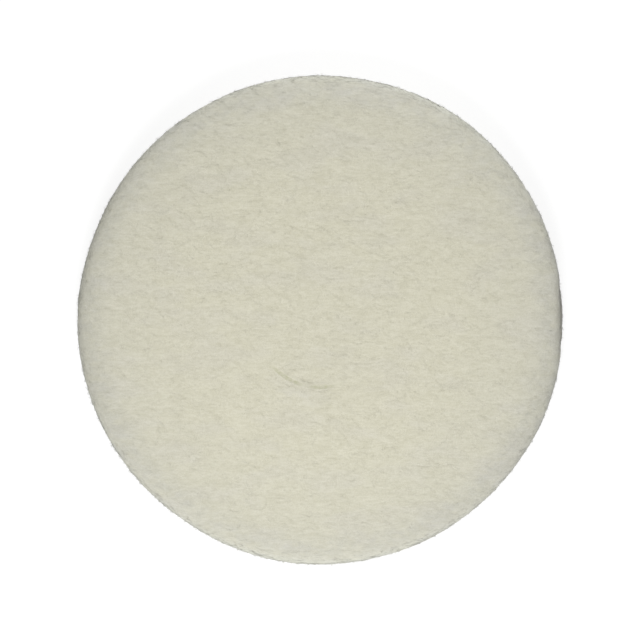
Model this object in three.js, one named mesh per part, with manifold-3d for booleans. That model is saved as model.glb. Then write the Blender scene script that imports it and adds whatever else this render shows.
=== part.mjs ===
// Round floor polishing pad: one thick disc of lofty non-woven fibre, lying flat on its lower face.
// Millimetres, +Z up. The origin is on the floor, below the middle of the disc.
// The disc is die-cut, so its side wall is upright, its lower edge is tight and its upper edge is drawn down
// into a soft shoulder. A crescent-shaped knife mark on the upper face shows part of the round centre plug.

import * as THREE from "three";
import { mergeVertices } from "three/addons/utils/BufferGeometryUtils.js";
import Module from "manifold-3d";

// The disc
const padDiameter = 305;
const padThickness = 25;

// The upper edge, which the die pulled down: a quarter of a superellipse
const shoulderWidth = 20;
const shoulderDrop = 9;
const shoulderPower = 2.3;

// The side wall and the lower edge
const sideBulge = 0.9;
const lowerEdgeRadius = 3;

// The soft material springs back unevenly after the cut, so the outline isn't a true circle.
// Each wave is how far the rim stands out, how many times it does so in one turn, and where it is highest.
const outlineWaves = [
  { height: 0.55, count: 2, peakDegrees: 84 },
  { height: 0.3, count: 3, peakDegrees: 58 },
  { height: 0.25, count: 5, peakDegrees: 48 },
  { height: 0.15, count: 9, peakDegrees: 18 },
];

// The knife mark of the centre plug, with its angles counted anticlockwise from +X
const plugDiameter = 84;
const markStartDegrees = 216;
const markEndDegrees = 294;
const markWidth = 1.6;
const markDepth = 6;

// How finely the round forms are divided
const outlineSteps = 144;
const shoulderSteps = 12;
const sideSteps = 6;
const lowerEdgeSteps = 4;
const markSteps = 26;

const padColour = "#d2cfbc";

const wasm = await Module();
wasm.setup();

// A closed three.js geometry as a solid that can be joined and cut.
function toSolid(geometry) {
  const bare = geometry.clone();
  bare.deleteAttribute("normal");
  bare.deleteAttribute("uv");
  const merged = mergeVertices(bare, 1e-4);
  return new wasm.Manifold(
    new wasm.Mesh({
      numProp: 3,
      vertProperties: new Float32Array(merged.attributes.position.array),
      triVerts: new Uint32Array(merged.index.array),
    }),
  );
}

// A solid as a three.js geometry with flat faces.
function toGeometry(solid) {
  const { vertProperties, triVerts } = solid.getMesh();
  const indexed = new THREE.BufferGeometry()
    .setAttribute("position", new THREE.BufferAttribute(vertProperties, 3))
    .setIndex(new THREE.BufferAttribute(triVerts, 1));
  const flat = indexed.toNonIndexed();
  flat.computeVertexNormals();
  return flat;
}

// The pad's half section, from the middle of its lower face round to the middle of its upper face.
function padSection() {
  const radius = padDiameter / 2;
  const wallTop = padThickness - shoulderDrop;
  const section = [new THREE.Vector2(0, 0)];

  for (let i = 0; i <= lowerEdgeSteps; i++) {
    const turn = (Math.PI / 2) * (i / lowerEdgeSteps);
    section.push(
      new THREE.Vector2(
        radius - sideBulge - lowerEdgeRadius * (1 - Math.sin(turn)),
        lowerEdgeRadius * (1 - Math.cos(turn)),
      ),
    );
  }

  // The wall leans out as it rises and is widest where the shoulder starts.
  for (let i = 1; i < sideSteps; i++) {
    const share = i / sideSteps;
    section.push(
      new THREE.Vector2(
        radius - sideBulge * (1 - Math.sin((Math.PI / 2) * share)),
        THREE.MathUtils.lerp(lowerEdgeRadius, wallTop, share),
      ),
    );
  }

  for (let i = 0; i <= shoulderSteps; i++) {
    const turn = (Math.PI / 2) * (i / shoulderSteps);
    const out = Math.cos(turn) ** (2 / shoulderPower);
    const up = Math.sin(turn) ** (2 / shoulderPower);
    section.push(
      new THREE.Vector2(radius - shoulderWidth * (1 - out), wallTop + shoulderDrop * up),
    );
  }

  section.push(new THREE.Vector2(0, padThickness));
  return section;
}

// How far the rim stands out beyond a true circle at an angle.
function outlineOffset(angle) {
  return outlineWaves.reduce(
    (sum, { height, count, peakDegrees }) =>
      sum + height * Math.cos(count * (angle - THREE.MathUtils.degToRad(peakDegrees))),
    0,
  );
}

// The uncut disc: the section turned about the upright axis, with its uneven outline.
function padBlank() {
  const blank = new THREE.LatheGeometry(padSection(), outlineSteps);
  blank.rotateX(Math.PI / 2);
  const position = blank.attributes.position;
  for (let i = 0; i < position.count; i++) {
    const x = position.getX(i);
    const y = position.getY(i);
    const grow = 1 + outlineOffset(Math.atan2(y, x)) / (padDiameter / 2);
    position.setX(i, x * grow);
    position.setY(i, y * grow);
  }
  return blank;
}

// The cut that the knife left: a crescent that gapes in its middle and closes at both ends.
function knifeMark() {
  const start = THREE.MathUtils.degToRad(markStartDegrees);
  const end = THREE.MathUtils.degToRad(markEndDegrees);
  const outer = [];
  const inner = [];
  for (let i = 0; i <= markSteps; i++) {
    const share = i / markSteps;
    const angle = THREE.MathUtils.lerp(start, end, share);
    const along = new THREE.Vector2(Math.cos(angle), Math.sin(angle));
    outer.push(along.clone().multiplyScalar(plugDiameter / 2));
    if (i > 0 && i < markSteps) {
      const gape = markWidth * Math.sin(Math.PI * share);
      inner.unshift(along.clone().multiplyScalar(plugDiameter / 2 - gape));
    }
  }
  const overshoot = 2;
  const cut = new THREE.ExtrudeGeometry(new THREE.Shape([...outer, ...inner]), {
    depth: markDepth + overshoot,
    bevelEnabled: false,
  });
  cut.translate(0, 0, padThickness - markDepth);
  return cut;
}

// The finished disc, moved so that the origin is below the middle of its extents.
function padGeometry() {
  const geometry = toGeometry(toSolid(padBlank()).subtract(toSolid(knifeMark())));
  geometry.computeBoundingBox();
  const middle = geometry.boundingBox.getCenter(new THREE.Vector3());
  return geometry.translate(-middle.x, -middle.y, 0);
}

const pad = new THREE.Mesh(
  padGeometry(),
  new THREE.MeshStandardMaterial({ color: padColour, roughness: 0.95, metalness: 0 }),
);
pad.name = "polishing_pad";

const floorPad = new THREE.Group();
floorPad.add(pad);

export default floorPad;
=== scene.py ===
"""Looks of a round floor polishing pad: a thick disc of lofty off-white fibre, seen from straight above.

The disc's own surface is a dense mesh with the soft relief of the fibre web. Over it lie thousands of
crimped strands that dip in and out of the web, and short fuzz that stands up from it. All of them follow
the section and the outline of the CAD disc.
"""

import math
import bpy
import numpy as np
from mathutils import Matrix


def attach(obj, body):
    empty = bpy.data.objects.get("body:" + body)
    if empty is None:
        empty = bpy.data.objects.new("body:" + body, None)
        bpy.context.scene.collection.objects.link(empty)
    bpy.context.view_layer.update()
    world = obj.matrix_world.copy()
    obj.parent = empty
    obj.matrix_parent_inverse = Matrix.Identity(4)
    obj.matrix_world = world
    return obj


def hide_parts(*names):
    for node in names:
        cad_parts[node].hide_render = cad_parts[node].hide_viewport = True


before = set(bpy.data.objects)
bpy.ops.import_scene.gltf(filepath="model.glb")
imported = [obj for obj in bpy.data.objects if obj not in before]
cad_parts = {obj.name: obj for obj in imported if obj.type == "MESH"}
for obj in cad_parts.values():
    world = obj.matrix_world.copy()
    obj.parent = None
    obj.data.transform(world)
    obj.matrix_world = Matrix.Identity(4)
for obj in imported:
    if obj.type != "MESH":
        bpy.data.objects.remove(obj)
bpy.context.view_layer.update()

MM = 0.001
PAD = "polishing_pad"
SEED = 12

# The photograph's frame, with the place of the pad's origin in it
PHOTO_SIZE = 640
ORIGIN_PIXELS = (320.1, 320.0)
PAD_RADIUS_PIXELS = 243.8
LENS_MM = 85
SENSOR_MM = 36

# The knife mark of the centre plug, which shows as a soft hollow: the radius of its outer lip, its
# width and depth, and the share of the half width that is its floor
MARK_RADIUS = 43.2 * MM
MARK_WIDTH = 3.4 * MM
MARK_DEPTH = 0.4 * MM
MARK_FLOOR = 0.3

# The stretches where the mark gapes, with their angles counted anticlockwise from +X and how open
# each is, and how open it has to be for the strands to end at it. Between the first two stretches the
# web bridges the cut.
MARK_STRETCHES = (
    (math.radians(222), math.radians(258.5), 1.0),
    (math.radians(259), math.radians(284), 0.9),
    (math.radians(281), math.radians(295), 0.35),
)
MARK_OPEN = 0.4

# The shallow dent along the inside of the knife mark, where the web sags
DENT_STRETCH = (math.radians(216), math.radians(306))
DENT_RADIUS = 39 * MM
DENT_REACH = 5 * MM
DENT_DEPTH = 0.8 * MM

# The painted highlight: a paler patch outside the knife mark, with its reach along and across its heading
HIGHLIGHT_MIDDLE = (-15 * MM, -47 * MM)
HIGHLIGHT_REACH = (20 * MM, 6 * MM)
HIGHLIGHT_HEADING = math.radians(-14)

# The stretch of the rim where the cut leans. The lean starts on the shoulder and is deepest at the top
# of the wall. Lower down the wall stands out instead, by this share of the depth.
LEAN_MIDDLE = math.radians(1)
LEAN_REACH = math.radians(10)
LEAN_DEPTH = 1.5 * MM
LEAN_START = 12 * MM
LEAN_OUTWARD = 0.8

# The stretch of the rim where the cut is ragged, how far above and below the rim its tufts stand, and
# their share of all the tufts on the wall
RAGGED_STRETCH = (math.radians(190), math.radians(265))
RAGGED_BAND = (-2 * MM, 3 * MM)
RAGGED_SHARE = 0.12

# Relief of the faces: broad, shallow waves whose crests lie along the streaks
STREAK_HEADING = math.radians(-15)
STREAK_SPREAD = math.radians(30)
FACE_WAVES = (3 * MM, 26 * MM)
FACE_LAYERS = (200 * MM, 400 * MM)
FACE_RELIEF = 0.07 * MM

# Relief of the cut wall: the edges of thin layers
WALL_WAVES = (5 * MM, 24 * MM)
WALL_LAYERS = (2.4 * MM, 8 * MM)
WALL_RELIEF = 0.09 * MM

# How many waves make up a relief, and the power of its length by which a wave grows higher
RELIEF_WAVES = 150
RELIEF_POWER = 0.8

# How far above the rim the wall's character sets in, and how far above the lower edge it fades
WALL_ONSET = 10 * MM
WALL_FADE = 3 * MM

# How far the web lies below the CAD surface, which is the level of its outermost strands, and how far
# it stays above the floor
FACE_SINK = 0.12 * MM
WALL_SINK = 0.4 * MM
FLOOR_CLEARANCE = 0.05 * MM

# How finely the disc's surface is divided
TOP_SPACING = 1.3 * MM
WALL_SPACING = 0.95 * MM
BOTTOM_SPACING = 2.3 * MM
MARK_SPACING = 0.35 * MM
FEWEST_AROUND = 6

# The map of the disc's surface: the middle and the reach of its round faces, and the strips of its wall
UPPER_ON_MAP = ((0.345, 0.345), 0.34)
LOWER_ON_MAP = ((0.845, 0.16), 0.15)
STRIPS = 4
STRIP_CORNER = (0.012, 0.71)
STRIP_SIZE = (0.97, 0.06)
STRIP_PITCH = 0.07

# The strands and the short hairs of the fuzz: how many each piece holds
TOP_STRANDS = 3900
WALL_STRANDS = 3900
BOTTOM_STRANDS = 2200
TOP_HAIRS = 4500
WALL_HAIRS = 8000

# Their points, their thickness and how much it varies
STRAND_POINTS = 9
FUZZ_POINTS = 5
STRAND_RADIUS = 0.06 * MM
FUZZ_RADIUS = 0.05 * MM
WALL_STRAND_RADIUS = 0.07 * MM
WALL_FUZZ_RADIUS = 0.065 * MM
THICKNESS_RANGE = (0.75, 1.3)

# Their shortest and longest lengths
FACE_STRAND_LENGTH = (14 * MM, 28 * MM)
WALL_STRAND_LENGTH = (12 * MM, 24 * MM)
TOP_HAIR_LENGTH = (2.5 * MM, 7 * MM)
WALL_HAIR_LENGTH = (0.8 * MM, 3.2 * MM)

# Their headings: the share of those on the faces that favours the streaks, and the spreads
STREAKED_SHARE = 0.45
FACE_HEADING_SPREAD = math.radians(32)
WALL_HEADING_SPREAD = math.radians(30)

# How they curve: the spread of their bend, and the ranges of their crimp and of its waves
BEND_SPREAD = 0.7
CRIMP_RANGE = (0.15, 0.6)
CRIMP_WAVES = (0.8, 2.2)

# How far strands stand out from the web: the spread of their levels and how far they weave, and for
# all of them the waves of the weave and the depth of their buried ends
TOP_LIFT = (0.02 * MM, 0.04 * MM)
WALL_LIFT = (0.1 * MM, 0.2 * MM)
BOTTOM_LIFT = (0.03 * MM, 0.06 * MM)
WEAVE_WAVES = (0.7, 1.8)
BURIED_DEPTH = 0.6 * MM

# How far hairs rise, as the shape and the scales of a gamma distribution, the most on the wall, and
# their roots
RISE_SHAPE = 2
TOP_RISE = 0.05 * MM
WALL_RISE = 0.28 * MM
HIGHEST_RISE = 1.6 * MM
ROOT_DEPTH = 0.3 * MM

# How far onto the shoulder the wall's strands and hairs reach, and how far its hairs keep off the
# lower edge
STRANDS_ABOVE_RIM = 6 * MM
HAIRS_ABOVE_RIM = 8 * MM
HAIRS_OFF_EDGE = 1 * MM

# The tufts on the wall: how many hairs there are to a tuft, the share of them that stands in one, and
# its spread
HAIRS_PER_TUFT = 9
TUFTED_SHARE = 0.5
TUFT_SPREAD = 0.45 * MM

# How far a strand's normals lean to those of the surface that it lies on
SOFT_NORMAL = 1.6

# The margin round each strand's tile of the map
TILE_MARGIN = 0.1


# The CAD disc, read back as one section and one outline


def cad_vertices():
    """The CAD disc's vertices, one row each."""
    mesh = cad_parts[PAD].data
    places = np.empty(len(mesh.vertices) * 3)
    mesh.vertices.foreach_get("co", places)
    return places.reshape(-1, 3)


def smooth_step(value, low, high):
    """0 up to the low limit, 1 from the high one, and a smooth rise between them."""
    share = np.clip((value - low) / (high - low), 0, 1)
    return share * share * (3 - 2 * share)


class Disc:
    """The CAD disc's surface, walked from the middle of the upper face over the rim to the lower one's."""

    def __init__(self, places):
        angle = np.arctan2(places[:, 1], places[:, 0])
        radius = np.hypot(places[:, 0], places[:, 1])
        height = np.round(places[:, 2], 6)

        # The vertices of the knife mark and of both middles lie well inside this share of the radius.
        rim = radius > 0.6 * radius.max()
        levels = np.unique(height[rim])
        widest = max(levels, key=lambda z: radius[rim & (height == z)].mean())
        on_widest = rim & (height == widest)
        order = np.argsort(angle[on_widest])
        self.angles = angle[on_widest][order]
        self.radii = radius[on_widest][order]
        self.rim_radius = self.radii.mean()

        levels = levels[::-1]
        share = radius / self.outline(angle)
        widths = [share[rim & (height == z)].mean() for z in levels]
        self.section_r = np.array([0, *widths, 0]) * self.rim_radius
        self.section_z = np.array([levels[0], *levels, levels[-1]])
        steps = np.hypot(np.diff(self.section_r), np.diff(self.section_z))
        self.section_s = np.concatenate([[0], np.cumsum(steps)])
        self.length = self.section_s[-1]
        self.shoulder_s = self.section_s[1]
        self.rim_s = self.section_s[np.argmax(self.section_r)]
        self.lower_edge_s = self.section_s[-2]

    def outline(self, angle):
        """The rim's radius at an angle."""
        return np.interp(angle, self.angles, self.radii, period=2 * math.pi)

    def section(self, s):
        """Radius and height at a distance along the section, before the outline is applied."""
        return np.interp(s, self.section_s, self.section_r), np.interp(s, self.section_s, self.section_z)

    def lean(self, s, angle):
        """How far the wall is drawn in where the cut leans. It is less than nothing lower on the wall."""
        off_middle = np.mod(angle - LEAN_MIDDLE + math.pi, 2 * math.pi) - math.pi
        along = 1 - smooth_step(np.abs(off_middle), 0.4 * LEAN_REACH, LEAN_REACH)
        rise = smooth_step(s, self.rim_s - LEAN_START, self.rim_s)
        down = np.clip((s - self.rim_s) / (self.lower_edge_s - self.rim_s), 0, 1)
        fall = (1 - (1 + LEAN_OUTWARD) * smooth_step(down, 0, 0.4)) * (1 - smooth_step(down, 0.75, 1))
        return LEAN_DEPTH * along * rise * fall

    def place(self, s, angle):
        """The point of the surface at a distance along the section and an angle, and the normal there."""
        reach = 0.8 * MM
        r, z = self.section(s)
        r_before, z_before = self.section(s - reach)
        r_after, z_after = self.section(s + reach)
        slope = np.stack([r_after - r_before, z_after - z_before])
        slope /= np.linalg.norm(slope, axis=0)
        out, up = -slope[1], slope[0]
        r = r * self.outline(angle) / self.rim_radius - self.lean(s, angle)
        cosine, sine = np.cos(angle), np.sin(angle)
        place = np.stack([r * cosine, r * sine, z], axis=-1)
        normal = np.stack([out * cosine, out * sine, up], axis=-1)
        return place, normal

    def wall_share(self, s):
        """1 on the cut wall, 0 on both faces, and between them over the shoulder and the lower edge."""
        rise = smooth_step(s, self.rim_s - WALL_ONSET, self.rim_s)
        return rise * (1 - smooth_step(s, self.lower_edge_s - WALL_FADE, self.lower_edge_s))


# The relief of the web


class Waves:
    """A random field in space about 1 high, made of plane waves with the given lengths and directions."""

    def __init__(self, rng, lengths, across, layers):
        low, high = np.log(lengths)
        wave = np.exp(rng.uniform(low, high, RELIEF_WAVES))
        layer = rng.uniform(*layers, RELIEF_WAVES) * rng.choice([-1, 1], RELIEF_WAVES)
        turns = np.stack([np.cos(across) / wave, np.sin(across) / wave, 1 / layer])
        self.turns = 2 * math.pi * turns
        self.phase = rng.uniform(0, 2 * math.pi, RELIEF_WAVES)
        height = wave**RELIEF_POWER
        self.height = height / math.sqrt(0.5 * np.sum(height**2))

    def at(self, places):
        """The field's value at each place."""
        flat = places.reshape(-1, 3)
        total = np.zeros(len(flat))
        for turns, phase, height in zip(self.turns.T, self.phase, self.height):
            total += height * np.cos(flat @ turns + phase)
        return total.reshape(places.shape[:-1])


class Web:
    """The web's surface: the CAD disc, sunk a little and given its relief."""

    def __init__(self, disc, rng):
        self.disc = disc
        streaked = STREAK_HEADING + math.pi / 2 + rng.normal(0, STREAK_SPREAD, RELIEF_WAVES)
        self.face = Waves(rng, FACE_WAVES, streaked, FACE_LAYERS)
        self.wall = Waves(rng, WALL_WAVES, rng.uniform(0, 2 * math.pi, RELIEF_WAVES), WALL_LAYERS)

    def height(self, s, places):
        """How far the web stands out from the CAD surface, which is mostly less than nothing."""
        wall = self.disc.wall_share(s)
        on_face = FACE_RELIEF * self.face.at(places) - FACE_SINK
        on_wall = WALL_RELIEF * self.wall.at(places) - WALL_SINK
        sag = np.where(s < self.disc.shoulder_s, dent_depth(places), 0)
        return on_face * (1 - wall) + on_wall * wall - sag


def stretch_share(angle, start, end):
    """How far inside a stretch of the circle an angle is: 0 at both ends and 1 in the middle."""
    along = np.clip((np.mod(angle, 2 * math.pi) - start) / (end - start), 0, 1)
    return np.sin(math.pi * along) ** 0.7


def dent_depth(places):
    """How deep the dent by the knife mark is."""
    angle = np.arctan2(places[..., 1], places[..., 0])
    off_line = np.abs(np.hypot(places[..., 0], places[..., 1]) - DENT_RADIUS) / DENT_REACH
    return DENT_DEPTH * stretch_share(angle, *DENT_STRETCH) * (1 - smooth_step(off_line, 0, 1))


def mark_share(angle):
    """How open the knife mark is at an angle."""
    share = np.zeros_like(angle)
    for start, end, most in MARK_STRETCHES:
        share = np.maximum(share, most * stretch_share(angle, start, end))
    return share


def mark_depth(radius, angle):
    """How deep the knife mark is at a place of the upper face, as a share of its depth."""
    gape = MARK_WIDTH / 2
    off_line = np.abs(radius - MARK_RADIUS + gape) / gape
    return mark_share(angle) * (1 - smooth_step(off_line, MARK_FLOOR, 1))


# Meshes


def new_mesh(name, vertices, faces, material):
    """A smooth object in the scene, made of triangles."""
    mesh = bpy.data.meshes.new(name)
    mesh.vertices.add(len(vertices))
    mesh.vertices.foreach_set("co", vertices.ravel().astype(np.float32))
    mesh.loops.add(faces.size)
    mesh.loops.foreach_set("vertex_index", faces.ravel().astype(np.int32))
    mesh.polygons.add(len(faces))
    mesh.polygons.foreach_set("loop_start", np.arange(0, faces.size, 3, dtype=np.int32))
    mesh.update(calc_edges=True)
    mesh.shade_smooth()
    mesh.materials.append(material)
    piece = bpy.data.objects.new(name, mesh)
    bpy.context.scene.collection.objects.link(piece)
    return piece


def add_map(piece, corners):
    """Gives the piece the UV map named OFBake."""
    layer = piece.data.uv_layers.new(name="OFBake")
    layer.uv.foreach_set("vector", corners.ravel().astype(np.float32))


def add_values(piece, name, values):
    """Stores one number at each vertex, for the material to read."""
    attribute = piece.data.attributes.new(name, "FLOAT", "POINT")
    attribute.data.foreach_set("value", values.ravel().astype(np.float32))


# The disc's own surface


def ring_distances(disc):
    """Distances along the section at which the surface has a ring of vertices, each with its spacing."""
    margin = 4 * MARK_SPACING
    mark_low = MARK_RADIUS - MARK_WIDTH - margin
    mark_high = MARK_RADIUS + margin
    stretches = [
        (0, mark_low, TOP_SPACING),
        (mark_low, mark_high, MARK_SPACING),
        (mark_high, disc.shoulder_s, TOP_SPACING),
        (disc.shoulder_s, disc.rim_s, WALL_SPACING),
        (disc.rim_s, disc.lower_edge_s, WALL_SPACING),
        (disc.lower_edge_s, disc.length, BOTTOM_SPACING),
    ]
    rings = []
    for start, end, spacing in stretches:
        count = max(1, round((end - start) / spacing))
        rings += [(s, spacing) for s in np.linspace(start, end, count, endpoint=False)]
    return rings[1:]


def between_rings(first, first_count, second, second_count):
    """The triangles between two rings whose vertices start at these numbers, each ring evenly spaced."""
    of_both = [np.arange(1, count + 1) / count for count in (first_count, second_count)]
    turns = np.concatenate(of_both)
    of_first = np.arange(len(turns)) < first_count
    order = np.argsort(turns, kind="stable")
    of_first = of_first[order]
    i = np.cumsum(of_first) - of_first
    j = np.cumsum(~of_first) - ~of_first
    here = first + i % first_count
    there = second + j % second_count
    after = np.where(of_first, first + (i + 1) % first_count, second + (j + 1) % second_count)
    return np.stack([here, there, after], axis=1)


def ring_fan(middle, start, count, turned):
    """The triangles from one middle vertex to the ring around it."""
    here = start + np.arange(count)
    after = start + (np.arange(count) + 1) % count
    centre = np.full(count, middle)
    return np.stack([centre, after, here] if turned else [centre, here, after], axis=1)


def body_map(disc, s, angle):
    """Where the corners of the triangles lie on the map: two round faces, and the wall cut into strips."""

    def round_face(middle, reach, share):
        x = middle[0] + reach * share * np.cos(angle)
        y = middle[1] + reach * share * np.sin(angle)
        return np.stack([x, y], axis=-1)

    upper = round_face(*UPPER_ON_MAP, s / disc.rim_s)
    lower = round_face(*LOWER_ON_MAP, (disc.length - s) / (disc.length - disc.lower_edge_s))

    turn = angle / (2 * math.pi)
    turn = turn[:, :1] + np.mod(turn - turn[:, :1] + 0.5, 1) - 0.5
    strip = np.floor(turn[:, :1] * STRIPS)
    down = (s - disc.rim_s) / (disc.lower_edge_s - disc.rim_s)
    x = STRIP_CORNER[0] + STRIP_SIZE[0] * (turn * STRIPS - strip)
    y = STRIP_CORNER[1] + STRIP_PITCH * strip + STRIP_SIZE[1] * down
    wall = np.stack([x, y], axis=-1)

    slack = 1e-6
    on_upper = s.max(axis=1) <= disc.rim_s + slack
    on_lower = s.min(axis=1) >= disc.lower_edge_s - slack
    return np.select([on_upper[:, None, None], on_lower[:, None, None]], [upper, lower], wall)


def pad_body(web, material):
    """The disc's surface, as evenly spaced rings of vertices joined by triangles."""
    disc = web.disc
    distances, angles, starts, counts = [0.0], [0.0], [], []
    total = 1
    for s, spacing in ring_distances(disc):
        around = max(spacing, WALL_SPACING if s > disc.shoulder_s else TOP_SPACING)
        count = max(FEWEST_AROUND, round(2 * math.pi * disc.section(s)[0] / around))
        starts.append(total)
        counts.append(count)
        distances += [s] * count
        angles += list(np.arange(count) * (2 * math.pi / count))
        total += count
    distances.append(disc.length)
    angles.append(0.0)

    faces = [ring_fan(0, starts[0], counts[0], False)]
    for k in range(len(starts) - 1):
        faces.append(between_rings(starts[k], counts[k], starts[k + 1], counts[k + 1]))
    faces.append(ring_fan(total, starts[-1], counts[-1], True))
    faces = np.concatenate(faces)

    s, angle = np.array(distances), np.array(angles)
    place, normal = disc.place(s, angle)
    height = web.height(s, place)
    depth = np.where(s < disc.shoulder_s, mark_depth(s, angle), 0)
    vertices = place + normal * (height - MARK_DEPTH * depth)[:, None]
    vertices[:, 2] = np.maximum(vertices[:, 2], FLOOR_CLEARANCE)

    piece = new_mesh("pad_body", vertices, faces, material)
    add_map(piece, body_map(disc, s[faces], angle[faces]))
    add_values(piece, "wall", disc.wall_share(s))
    add_values(piece, "depth", depth)
    return piece


# Strands and fuzz


def strand_paths(rng, points, middles, headings, lengths):
    """Crimped plane curves through the given middles: one row of points for each strand."""
    count = len(middles)
    share = np.linspace(-0.5, 0.5, points)
    bend = rng.normal(0, BEND_SPREAD, count)[:, None]
    crimp = rng.uniform(*CRIMP_RANGE, count)[:, None]
    waves = rng.uniform(*CRIMP_WAVES, count)[:, None]
    phase = rng.uniform(0, 2 * math.pi, count)[:, None]
    heading = headings[:, None] + bend * share * 2 + crimp * np.sin(2 * math.pi * waves * share + phase)
    step = lengths[:, None] / (points - 1)
    x = np.cumsum(step * np.cos(heading), axis=1)
    y = np.cumsum(step * np.sin(heading), axis=1)
    x += (middles[:, 0] - x.mean(axis=1))[:, None]
    y += (middles[:, 1] - y.mean(axis=1))[:, None]
    return x, y


def strand_lifts(rng, count, spread, weave):
    """How far each point of each strand stands out from the web: it weaves, and its ends are buried."""
    share = np.linspace(0, 1, STRAND_POINTS)[None, :]
    level = rng.normal(0, spread, count)[:, None]
    waves = rng.uniform(*WEAVE_WAVES, count)[:, None]
    phase = rng.uniform(0, 2 * math.pi, count)[:, None]
    swing = weave * rng.uniform(0.3, 1, count)[:, None]
    buried = BURIED_DEPTH * np.abs(2 * share - 1) ** 6
    return level + swing * np.sin(2 * math.pi * waves * share + phase) - buried


def fuzz_lifts(rng, rise):
    """How far each point of each hair stands out: it starts in the web, rises and curls over."""
    share = np.linspace(0, 1, FUZZ_POINTS)[None, :]
    curl = rng.uniform(0.6, 1.0, len(rise))[:, None]
    return (rise[:, None] + ROOT_DEPTH) * np.sin(0.5 * math.pi * share / curl) - ROOT_DEPTH


def keep_off_mark(s, angle):
    """Turns back the strands that would cross the open knife mark, since the knife cut them."""
    middle = s.shape[1] // 2
    in_range = (mark_share(angle) > MARK_OPEN).any(axis=1)
    inside = s[:, middle] < MARK_RADIUS - MARK_WIDTH / 2
    lip = np.where(inside, MARK_RADIUS - MARK_WIDTH, MARK_RADIUS)[:, None]
    beyond = np.where(inside[:, None], s > lip, s < lip)
    return np.where(beyond & in_range[:, None], 2 * lip - s, s)


def strand_tubes(web, s, angle, lift, radius):
    """The vertices and normals of closed three-sided tubes along the strands, with a flat side out."""
    count, points = s.shape
    place, normal = web.disc.place(s, angle)
    middle = place + normal * (web.height(s, place) + lift)[..., None]
    along = np.gradient(middle, axis=1)
    along /= np.linalg.norm(along, axis=2, keepdims=True)
    side = np.cross(along, normal)
    side /= np.linalg.norm(side, axis=2, keepdims=True)
    up = np.cross(side, along)

    inner = slice(1, points - 1)
    rings, ring_normals = [], []
    for turn in np.radians([30, 150, 270]):
        out = math.cos(turn) * side[:, inner] + math.sin(turn) * up[:, inner]
        rings.append(middle[:, inner] + out * radius[:, None, None])
        ring_normals.append(out + SOFT_NORMAL * normal[:, inner])
    body = np.stack(rings, axis=2).reshape(count, -1, 3)
    body_normals = np.stack(ring_normals, axis=2).reshape(count, -1, 3)
    vertices = np.concatenate([middle[:, :1], body, middle[:, -1:]], axis=1)
    normals = np.concatenate([normal[:, :1], body_normals, normal[:, -1:]], axis=1)
    normals /= np.linalg.norm(normals, axis=2, keepdims=True)
    vertices[..., 2] = np.maximum(vertices[..., 2], 0)
    return vertices, normals


def strand_faces(points):
    """One strand's triangles, as vertex numbers, and the place of each corner on a map of the strand."""
    rings = points - 2
    tip = 1 + 3 * rings
    faces, corners = [], []

    def corner(ring, edge):
        return ((ring + 1) / (points - 1), edge / 3)

    for edge in range(3):
        here, after = edge, (edge + 1) % 3
        middle = (edge + 0.5) / 3
        faces.append((0, 1 + here, 1 + after))
        corners.append(((0, middle), corner(0, edge), corner(0, edge + 1)))
        for ring in range(rings - 1):
            low, high = 1 + 3 * ring, 4 + 3 * ring
            faces.append((low + here, high + here, high + after))
            corners.append((corner(ring, edge), corner(ring + 1, edge), corner(ring + 1, edge + 1)))
            faces.append((low + here, high + after, low + after))
            corners.append((corner(ring, edge), corner(ring + 1, edge + 1), corner(ring, edge + 1)))
        last = 1 + 3 * (rings - 1)
        faces.append((last + here, tip, last + after))
        corners.append((corner(rings - 1, edge), (1, middle), corner(rings - 1, edge + 1)))
    return np.array(faces), np.array(corners)


def strand_piece(name, web, rng, paths, lift, thickness, material):
    """One piece that holds many strands, each with its own tile of the map and its own shade."""
    s, angle = paths
    count, points = s.shape
    radius = thickness * rng.uniform(*THICKNESS_RANGE, count)
    vertices, normals = strand_tubes(web, s, angle, lift, radius)
    faces, corners = strand_faces(points)
    per_strand = vertices.shape[1]
    all_faces = faces[None] + (np.arange(count) * per_strand)[:, None, None]
    piece = new_mesh(name, vertices.reshape(-1, 3), all_faces.reshape(-1, 3), material)
    piece.data.normals_split_custom_set_from_vertices(normals.reshape(-1, 3))

    tiles = math.ceil(math.sqrt(count))
    tile = np.stack([np.arange(count) % tiles, np.arange(count) // tiles], axis=1)
    on_tile = TILE_MARGIN + (1 - 2 * TILE_MARGIN) * corners[None]
    add_map(piece, (tile[:, None, None] + on_tile) / tiles)
    add_values(piece, "wall", np.repeat(web.disc.wall_share(s[:, points // 2]), per_strand))
    add_values(piece, "shade", np.repeat(rng.uniform(0, 1, count), per_strand))
    return piece


def random_headings(rng, count):
    """Headings that favour the streaks, with every other direction among them."""
    streaked = rng.normal(STREAK_HEADING, FACE_HEADING_SPREAD, count)
    free = rng.uniform(0, math.pi, count)
    return np.where(rng.uniform(0, 1, count) < STREAKED_SHARE, streaked, free)


def spread_on_face(rng, points, count, reach, lengths):
    """Paths spread evenly over a round face, as distances and angles from its middle."""
    turn = rng.uniform(0, 2 * math.pi, count)
    far = reach * np.sqrt(rng.uniform(0, 1, count))
    middles = np.stack([far * np.cos(turn), far * np.sin(turn)], axis=1)
    x, y = strand_paths(rng, points, middles, random_headings(rng, count), lengths)
    return np.hypot(x, y), np.arctan2(y, x)


def top_strands(name, web, rng, count, material):
    """Strands over the upper face and its shoulder."""
    lengths = rng.uniform(*FACE_STRAND_LENGTH, count)
    s, angle = spread_on_face(rng, STRAND_POINTS, count, web.disc.rim_s, lengths)
    s = keep_off_mark(s, angle)
    lift = strand_lifts(rng, count, *TOP_LIFT)
    return strand_piece(name, web, rng, (s, angle), lift, STRAND_RADIUS, material)


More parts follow.
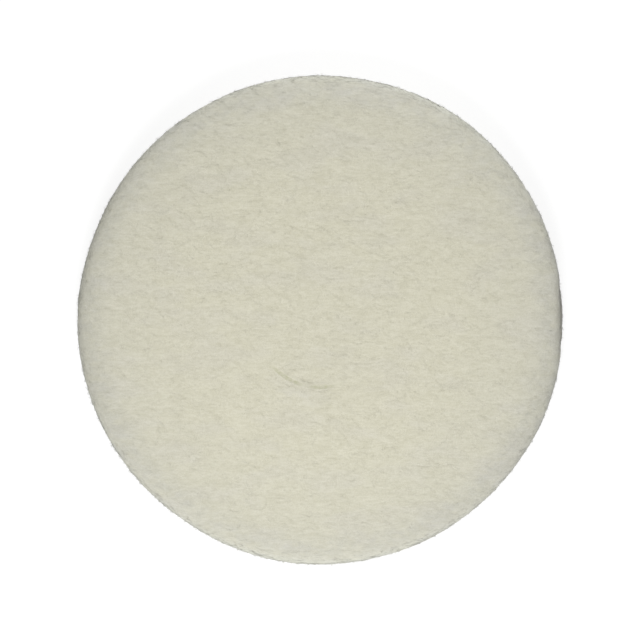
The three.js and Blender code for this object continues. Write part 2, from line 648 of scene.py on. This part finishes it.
def bottom_strands(name, web, rng, count, material):
    """Strands over the lower face and round its edge."""
    lengths = rng.uniform(*FACE_STRAND_LENGTH, count)
    reach = web.disc.length - web.disc.lower_edge_s
    s, angle = spread_on_face(rng, STRAND_POINTS, count, reach, lengths)
    lift = strand_lifts(rng, count, *BOTTOM_LIFT)
    return strand_piece(name, web, rng, (web.disc.length - s, angle), lift, STRAND_RADIUS, material)


def wall_strands(name, web, rng, count, material):
    """Strands along the cut wall, mostly level, as the web's layers are."""
    disc = web.disc
    round_the_rim = 2 * math.pi * disc.rim_radius
    low, high = disc.rim_s - STRANDS_ABOVE_RIM, disc.lower_edge_s
    middles = np.stack([rng.uniform(0, round_the_rim, count), rng.uniform(low, high, count)], axis=1)
    headings = rng.normal(0, WALL_HEADING_SPREAD, count)
    lengths = rng.uniform(*WALL_STRAND_LENGTH, count)
    x, y = strand_paths(rng, STRAND_POINTS, middles, headings, lengths)
    lift = strand_lifts(rng, count, *WALL_LIFT)
    return strand_piece(name, web, rng, (y, x / disc.rim_radius), lift, WALL_STRAND_RADIUS, material)


def top_fuzz(name, web, rng, count, material):
    """Short hairs that lie loose on the upper face and its shoulder."""
    lengths = rng.uniform(*TOP_HAIR_LENGTH, count)
    s, angle = spread_on_face(rng, FUZZ_POINTS, count, web.disc.rim_s, lengths)
    s = keep_off_mark(s, angle)
    lift = fuzz_lifts(rng, rng.gamma(RISE_SHAPE, TOP_RISE, count))
    return strand_piece(name, web, rng, (s, angle), lift, FUZZ_RADIUS, material)


def wall_fuzz(name, web, rng, count, material):
    """The cut ends of fibres on the wall and the outer shoulder, half of them in small tufts."""
    disc = web.disc
    round_the_rim = 2 * math.pi * disc.rim_radius
    low, high = disc.rim_s - HAIRS_ABOVE_RIM, disc.lower_edge_s - HAIRS_OFF_EDGE
    tufts = count // HAIRS_PER_TUFT
    roots = np.stack([rng.uniform(0, round_the_rim, tufts), rng.uniform(low, high, tufts)], axis=1)
    around = disc.rim_radius * rng.uniform(*RAGGED_STRETCH, tufts)
    down = disc.rim_s + rng.uniform(*RAGGED_BAND, tufts)
    ragged = rng.uniform(0, 1, (tufts, 1)) < RAGGED_SHARE
    roots = np.where(ragged, np.stack([around, down], axis=1), roots)
    in_tufts = roots[rng.integers(0, tufts, count)] + rng.normal(0, TUFT_SPREAD, (count, 2))
    free = np.stack([rng.uniform(0, round_the_rim, count), rng.uniform(low, high, count)], axis=1)
    middles = np.where(rng.uniform(0, 1, (count, 1)) < TUFTED_SHARE, in_tufts, free)
    headings = rng.uniform(0, 2 * math.pi, count)
    lengths = rng.uniform(*WALL_HAIR_LENGTH, count)
    x, y = strand_paths(rng, FUZZ_POINTS, middles, headings, lengths)
    lift = fuzz_lifts(rng, np.minimum(rng.gamma(RISE_SHAPE, WALL_RISE, count), HIGHEST_RISE))
    return strand_piece(name, web, rng, (y, x / disc.rim_radius), lift, WALL_FUZZ_RADIUS, material)


# Materials

# The fibre's paler and deeper streaks, its brightest strands, and what the grain and the grey
# blotches multiply by
PALE = (0.722, 0.70, 0.571, 1)
DEEP = (0.642, 0.62, 0.489, 1)
BRIGHT = (0.83, 0.804, 0.668, 1)
GRAIN = (0.92, 0.92, 0.905, 1)
GREYER = (0.985, 0.985, 1.01, 1)

# Painted shade in the knife mark, and the painted highlight of the paler patch beside it
MARK_SHADE = (0.50, 0.50, 0.34, 1)
MARK_HIGHLIGHT = (0.70, 0.685, 0.60, 1)

# Painted shade: what the colour multiplies by on the rim and at its edge, darker and greyer where the
# light falls off
RIM_SHADE = (0.868, 0.882, 0.938, 1)
WALL_EDGE_SHADE = (0.915, 0.945, 1.03, 1)

# How far inside the rim its wide painted shade starts, and how strong that gets
WIDE_SHADE_START = 80 * MM
WIDE_SHADE_SHARE = 0.46

# Where its narrow painted shade starts and where that is full, how strong it gets, and where the
# edge's own painted shade starts
NARROW_SHADE_START = 26 * MM
NARROW_SHADE_FULL = 4 * MM
NARROW_SHADE_SHARE = 0.58
EDGE_SHADE_START = 5 * MM

# Sizes of the streaks, blotches and patches of colour and of the painted highlight and shade, and of the
# fibres in the bump
FACE_STREAKS = 1.2 * MM
WALL_STREAKS = 2.0 * MM
BROAD_STREAKS = 8 * MM
GRAIN_SIZE = 0.8 * MM
GREY_BLOTCHES = 22 * MM
HIGHLIGHT_PATCHES = 6 * MM
MARK_SHADE_PATCHES = 2 * MM
RIM_SHADE_MOTTLE = 5 * MM
FACE_FIBRES = 0.7 * MM
WALL_FIBRES = 0.8 * MM

# The headings of the crossing fibres in the bump of the faces, how much rougher the wall's bump is,
# and the height of it all
FIBRE_HEADINGS = (math.radians(-15), math.radians(30), math.radians(100))
WALL_ROUGHER = 3.5
BUMP_STRENGTH = 0.4
BUMP_DISTANCE = 0.16 * MM


def new_material(name):
    """A material and its empty node tree."""
    material = bpy.data.materials.new(name)
    material.use_nodes = True
    tree = material.node_tree
    tree.nodes.clear()
    return material, tree


def node(tree, kind, **settings):
    """A new node with the given settings."""
    made = tree.nodes.new(kind)
    for name, value in settings.items():
        setattr(made, name, value)
    return made


def attribute(tree, name):
    """The number that a piece stores at its vertices under a name."""
    return node(tree, "ShaderNodeAttribute", attribute_name=name).outputs["Fac"]


def set_or_link(tree, socket, value):
    """Gives a socket a number or colour, or links another socket to it."""
    if isinstance(value, bpy.types.NodeSocket):
        tree.links.new(value, socket)
    else:
        socket.default_value = value


def mix_colours(tree, kind, share, first, second):
    mix = node(tree, "ShaderNodeMix", data_type="RGBA", blend_type=kind)
    for socket, value in zip((mix.inputs[0], mix.inputs[6], mix.inputs[7]), (share, first, second)):
        set_or_link(tree, socket, value)
    return mix.outputs[2]


def mix_numbers(tree, share, first, second):
    mix = node(tree, "ShaderNodeMix", data_type="FLOAT")
    for socket, value in zip((mix.inputs[0], mix.inputs[2], mix.inputs[3]), (share, first, second)):
        set_or_link(tree, socket, value)
    return mix.outputs[0]


def calculate(tree, operation, first, second):
    math_node = node(tree, "ShaderNodeMath", operation=operation)
    set_or_link(tree, math_node.inputs[0], first)
    set_or_link(tree, math_node.inputs[1], second)
    return math_node.outputs[0]


def noise(tree, coordinates, size, stretch=(1, 1, 1), turn=0.0, detail=2.0):
    """Noise of about the given size in metres, stretched and turned in the plane of the faces."""
    mapping = node(tree, "ShaderNodeMapping")
    mapping.inputs["Rotation"].default_value = (0, 0, -turn)
    mapping.inputs["Scale"].default_value = stretch
    tree.links.new(coordinates, mapping.inputs["Vector"])
    texture = node(tree, "ShaderNodeTexNoise")
    texture.inputs["Scale"].default_value = 1 / size
    texture.inputs["Detail"].default_value = detail
    tree.links.new(mapping.outputs["Vector"], texture.inputs["Vector"])
    return texture.outputs["Fac"]


def ranged(tree, value, low, high, to_low=0.0, to_high=1.0):
    """The value, smoothly moved from one range to another and kept within it."""
    ramp = node(tree, "ShaderNodeMapRange", interpolation_type="SMOOTHSTEP")
    for name, number in (("From Min", low), ("From Max", high), ("To Min", to_low), ("To Max", to_high)):
        ramp.inputs[name].default_value = number
    tree.links.new(value, ramp.inputs["Value"])
    return ramp.outputs["Result"]


def distance_from(tree, coordinates, middle, reach, turn=0.0):
    """The distance from an upright line, counted in reaches along and across a heading."""
    mapping = node(tree, "ShaderNodeMapping", vector_type="TEXTURE")
    mapping.inputs["Location"].default_value = (*middle, 0)
    mapping.inputs["Rotation"].default_value = (0, 0, turn)
    mapping.inputs["Scale"].default_value = (*reach, 1)
    tree.links.new(coordinates, mapping.inputs["Vector"])
    flat = node(tree, "ShaderNodeVectorMath", operation="MULTIPLY")
    flat.inputs[1].default_value = (1, 1, 0)
    tree.links.new(mapping.outputs["Vector"], flat.inputs[0])
    length = node(tree, "ShaderNodeVectorMath", operation="LENGTH")
    tree.links.new(flat.outputs["Vector"], length.inputs[0])
    return length.outputs["Value"]


def with_painted_rim_shade(tree, coordinates, colour, rim_radius):
    """Painted shade on the colour: darker and mottled towards the rim, and paler at its edge, for the
    light that leaks out there.
    """
    radius = distance_from(tree, coordinates, (0, 0), (1, 1))
    # Painted shade: the colour darkens and greys towards the rim and its edge, where the light falls off
    wide = ranged(tree, radius, rim_radius - WIDE_SHADE_START, rim_radius, 0.0, WIDE_SHADE_SHARE)
    start, full = rim_radius - NARROW_SHADE_START, rim_radius - NARROW_SHADE_FULL
    narrow = ranged(tree, radius, start, full, 0.0, NARROW_SHADE_SHARE)
    mottle = noise(tree, coordinates, RIM_SHADE_MOTTLE, (0.7, 1.1, 1), STREAK_HEADING, 4.0)
    narrow = calculate(tree, "MULTIPLY", narrow, ranged(tree, mottle, 0.35, 0.65, 0.6, 1.4))
    edge = ranged(tree, radius, rim_radius - EDGE_SHADE_START, rim_radius)
    painted_shade = mix_colours(tree, "MIX", edge, RIM_SHADE, WALL_EDGE_SHADE)
    return mix_colours(tree, "MULTIPLY", calculate(tree, "ADD", wide, narrow), colour, painted_shade)


def web_colour(tree, coordinates, wall):
    """Streaks of paler and deeper fibre, a fine grain, greyer blotches and a painted highlight by the
    knife mark.
    """
    on_face = noise(tree, coordinates, FACE_STREAKS, (0.27, 1, 1), STREAK_HEADING, 3.0)
    on_wall = noise(tree, coordinates, WALL_STREAKS, (0.4, 0.4, 2), 0.0, 3.0)
    streaks = mix_numbers(tree, wall, on_face, on_wall)
    broad = noise(tree, coordinates, BROAD_STREAKS, (0.6, 1.5, 1), STREAK_HEADING)
    share = mix_numbers(tree, 0.35, streaks, broad)
    colour = mix_colours(tree, "MIX", ranged(tree, share, 0.3, 0.7), DEEP, PALE)
    grain = noise(tree, coordinates, GRAIN_SIZE, (0.8, 1, 1), STREAK_HEADING, 1.0)
    colour = mix_colours(tree, "MULTIPLY", ranged(tree, grain, 0.3, 0.7), colour, GRAIN)
    greys = noise(tree, coordinates, GREY_BLOTCHES, (0.6, 1.3, 1), STREAK_HEADING)
    colour = mix_colours(tree, "MULTIPLY", ranged(tree, greys, 0.45, 0.65), colour, GREYER)
    # Painted highlight: a paler patch outside the knife mark
    off_patch = distance_from(tree, coordinates, HIGHLIGHT_MIDDLE, HIGHLIGHT_REACH, HIGHLIGHT_HEADING)
    highlight = ranged(tree, off_patch, 1.0, 0.3)
    patches = noise(tree, coordinates, HIGHLIGHT_PATCHES, (0.6, 1.3, 1), STREAK_HEADING)
    highlight = calculate(tree, "MULTIPLY", highlight, ranged(tree, patches, 0.4, 0.6, 0.0, 0.45))
    return mix_colours(tree, "MIX", highlight, colour, MARK_HIGHLIGHT)


def finish_fibre(tree, colour, normal=None):
    """Gives the material its shader: matt, with a little sheen."""
    shader = node(tree, "ShaderNodeBsdfPrincipled")
    shader.inputs["Roughness"].default_value = 0.9
    shader.inputs["Specular IOR Level"].default_value = 0.25
    shader.inputs["Sheen Weight"].default_value = 0.15
    shader.inputs["Sheen Roughness"].default_value = 0.5
    tree.links.new(colour, shader.inputs["Base Color"])
    if normal is not None:
        tree.links.new(normal, shader.inputs["Normal"])
    output = node(tree, "ShaderNodeOutputMaterial")
    tree.links.new(shader.outputs[0], output.inputs["Surface"])


def fibre_height(tree, coordinates, wall):
    """Fine fibres as heights: crossing streaks on the faces and level ones on the wall."""
    height = 0.0
    for heading in FIBRE_HEADINGS:
        streak = noise(tree, coordinates, FACE_FIBRES, (0.14, 1, 1), heading, 1.0)
        height = calculate(tree, "MAXIMUM", height, streak)
    on_wall = noise(tree, coordinates, WALL_FIBRES, (0.35, 0.35, 1.1), 0.0, 3.0)
    return mix_numbers(tree, wall, height, calculate(tree, "MULTIPLY", on_wall, WALL_ROUGHER))


def web_material(rim_radius):
    """The web's own surface: streaky, with painted shade in the knife mark and towards the rim, with fine
    fibres as bump.
    """
    material, tree = new_material("fibre_web")
    coordinates = node(tree, "ShaderNodeTexCoord").outputs["Object"]
    wall = attribute(tree, "wall")
    colour = web_colour(tree, coordinates, wall)
    # Painted shade: the knife mark's depth darkens the colour in it
    mark_shade_share = ranged(tree, attribute(tree, "depth"), 0.1, 0.9, 0.0, 0.7)
    patches = ranged(tree, noise(tree, coordinates, MARK_SHADE_PATCHES), 0.35, 0.6, 0.3, 1.0)
    colour = mix_colours(tree, "MIX", calculate(tree, "MULTIPLY", mark_shade_share, patches), colour, MARK_SHADE)
    # Painted shade towards the rim
    colour = with_painted_rim_shade(tree, coordinates, colour, rim_radius)
    bump = node(tree, "ShaderNodeBump")
    bump.inputs["Strength"].default_value = BUMP_STRENGTH
    bump.inputs["Distance"].default_value = BUMP_DISTANCE
    tree.links.new(fibre_height(tree, coordinates, wall), bump.inputs["Height"])
    finish_fibre(tree, colour, bump.outputs["Normal"])
    return material


def strand_material(rim_radius):
    """The strands: coloured as the web is, and each a little lighter or darker than its neighbours."""
    material, tree = new_material("fibre_strand")
    coordinates = node(tree, "ShaderNodeTexCoord").outputs["Object"]
    wall = attribute(tree, "wall")
    colour = web_colour(tree, coordinates, wall)
    brighter = ranged(tree, attribute(tree, "shade"), 0, 1, 0.2, 0.8)
    colour = mix_colours(tree, "MIX", brighter, colour, BRIGHT)
    # Painted shade towards the rim
    colour = with_painted_rim_shade(tree, coordinates, colour, rim_radius)
    finish_fibre(tree, colour)
    return material


# The studio

# The floor: its radius, its grey under the lamps, its glow near the pad and far off, and where that
# changes
FLOOR_RADIUS = 3.0
FLOOR_GREY = (0.32, 0.32, 0.32, 1)
GLOW_NEAR_AND_FAR = (0.76, 1.0)
GLOW_CHANGE = (0.3, 0.8)

# How strongly the white room lights the pad
ROOM_LIGHT = 0.47


def seen_directly(tree):
    """1 for what the camera sees, straight or by way of a mirror or glass, and 0 for other light."""
    path = node(tree, "ShaderNodeLightPath").outputs
    by_mirror = calculate(tree, "MAXIMUM", path["Is Glossy Ray"], path["Is Transmission Ray"])
    return calculate(tree, "MAXIMUM", path["Is Camera Ray"], by_mirror)


def white_stage():
    """A pale round floor that shows as white to the camera, and near the pad keeps its soft shadow."""
    material, tree = new_material("floor_white")
    diffuse = node(tree, "ShaderNodeBsdfDiffuse")
    diffuse.inputs["Color"].default_value = FLOOR_GREY
    glow = node(tree, "ShaderNodeEmission")
    coordinates = node(tree, "ShaderNodeTexCoord").outputs["Object"]
    far = distance_from(tree, coordinates, (0, 0), (1, 1))
    strength = ranged(tree, far, *GLOW_CHANGE, *GLOW_NEAR_AND_FAR)
    tree.links.new(calculate(tree, "MULTIPLY", seen_directly(tree), strength), glow.inputs["Strength"])
    joined = node(tree, "ShaderNodeAddShader")
    tree.links.new(diffuse.outputs[0], joined.inputs[0])
    tree.links.new(glow.outputs[0], joined.inputs[1])
    output = node(tree, "ShaderNodeOutputMaterial")
    tree.links.new(joined.outputs[0], output.inputs["Surface"])

    bpy.ops.mesh.primitive_circle_add(
        vertices=96, radius=FLOOR_RADIUS, fill_type="NGON", location=(0, 0, 0)
    )
    floor = bpy.context.object
    floor.name = "floor"
    floor.data.materials.append(material)


def lamp(name, place, size, power):
    """A square soft lamp that points at the pad."""
    light = bpy.data.lights.new(name, "AREA")
    light.shape = "SQUARE"
    light.size = size
    light.energy = power
    lamp_object = bpy.data.objects.new(name, light)
    lamp_object.location = place
    heading = -lamp_object.location
    lamp_object.rotation_euler = heading.to_track_quat("-Z", "Y").to_euler()
    lamp_object.visible_camera = False
    bpy.context.scene.collection.objects.link(lamp_object)


def studio():
    """A front lamp, a low back lamp and an even white room."""
    lamp("front_lamp", place=(-0.09, -0.80, 0.69), size=0.45, power=7.4)
    lamp("back_lamp", place=(0.13, 0.80, 0.20), size=0.3, power=3.8)
    world = bpy.data.worlds.new("studio")
    world.use_nodes = True
    tree = world.node_tree
    tree.nodes.clear()
    background = node(tree, "ShaderNodeBackground")
    background.inputs["Color"].default_value = (1, 1, 1, 1)
    strength = mix_numbers(tree, seen_directly(tree), ROOM_LIGHT, 1.0)
    tree.links.new(strength, background.inputs["Strength"])
    output = node(tree, "ShaderNodeOutputWorld")
    tree.links.new(background.outputs[0], output.inputs["Surface"])
    bpy.context.scene.world = world
    bpy.context.scene.view_settings.view_transform = "Standard"


def overhead_camera(disc):
    """A camera straight above the pad, which fills the frame as it does in the photograph."""
    pixel = disc.rim_radius / PAD_RADIUS_PIXELS
    rim_height = disc.section(disc.rim_s)[1]
    distance = PHOTO_SIZE * pixel * LENS_MM / SENSOR_MM
    data = bpy.data.cameras.new("camera")
    data.lens = LENS_MM
    data.sensor_width = SENSOR_MM
    camera = bpy.data.objects.new("camera", data)
    middle = PHOTO_SIZE / 2
    camera.location = (
        (middle - ORIGIN_PIXELS[0]) * pixel,
        (ORIGIN_PIXELS[1] - middle) * pixel,
        rim_height + distance,
    )
    bpy.context.scene.collection.objects.link(camera)
    bpy.context.scene.camera = camera


# The scene

disc = Disc(cad_vertices())
overhead_camera(disc)
rng = np.random.default_rng(SEED)
web = Web(disc, rng)
web_finish = web_material(disc.rim_radius)
strand_finish = strand_material(disc.rim_radius)

body = pad_body(web, web_finish)
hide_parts(PAD)

pieces = [
    body,
    top_strands("top_strands_1", web, rng, TOP_STRANDS, strand_finish),
    top_strands("top_strands_2", web, rng, TOP_STRANDS, strand_finish),
    top_fuzz("top_fuzz", web, rng, TOP_HAIRS, strand_finish),
    wall_strands("wall_strands", web, rng, WALL_STRANDS, strand_finish),
    wall_fuzz("wall_fuzz", web, rng, WALL_HAIRS, strand_finish),
    bottom_strands("bottom_strands", web, rng, BOTTOM_STRANDS, strand_finish),
]
for piece in pieces:
    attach(piece, "root")

white_stage()
studio()
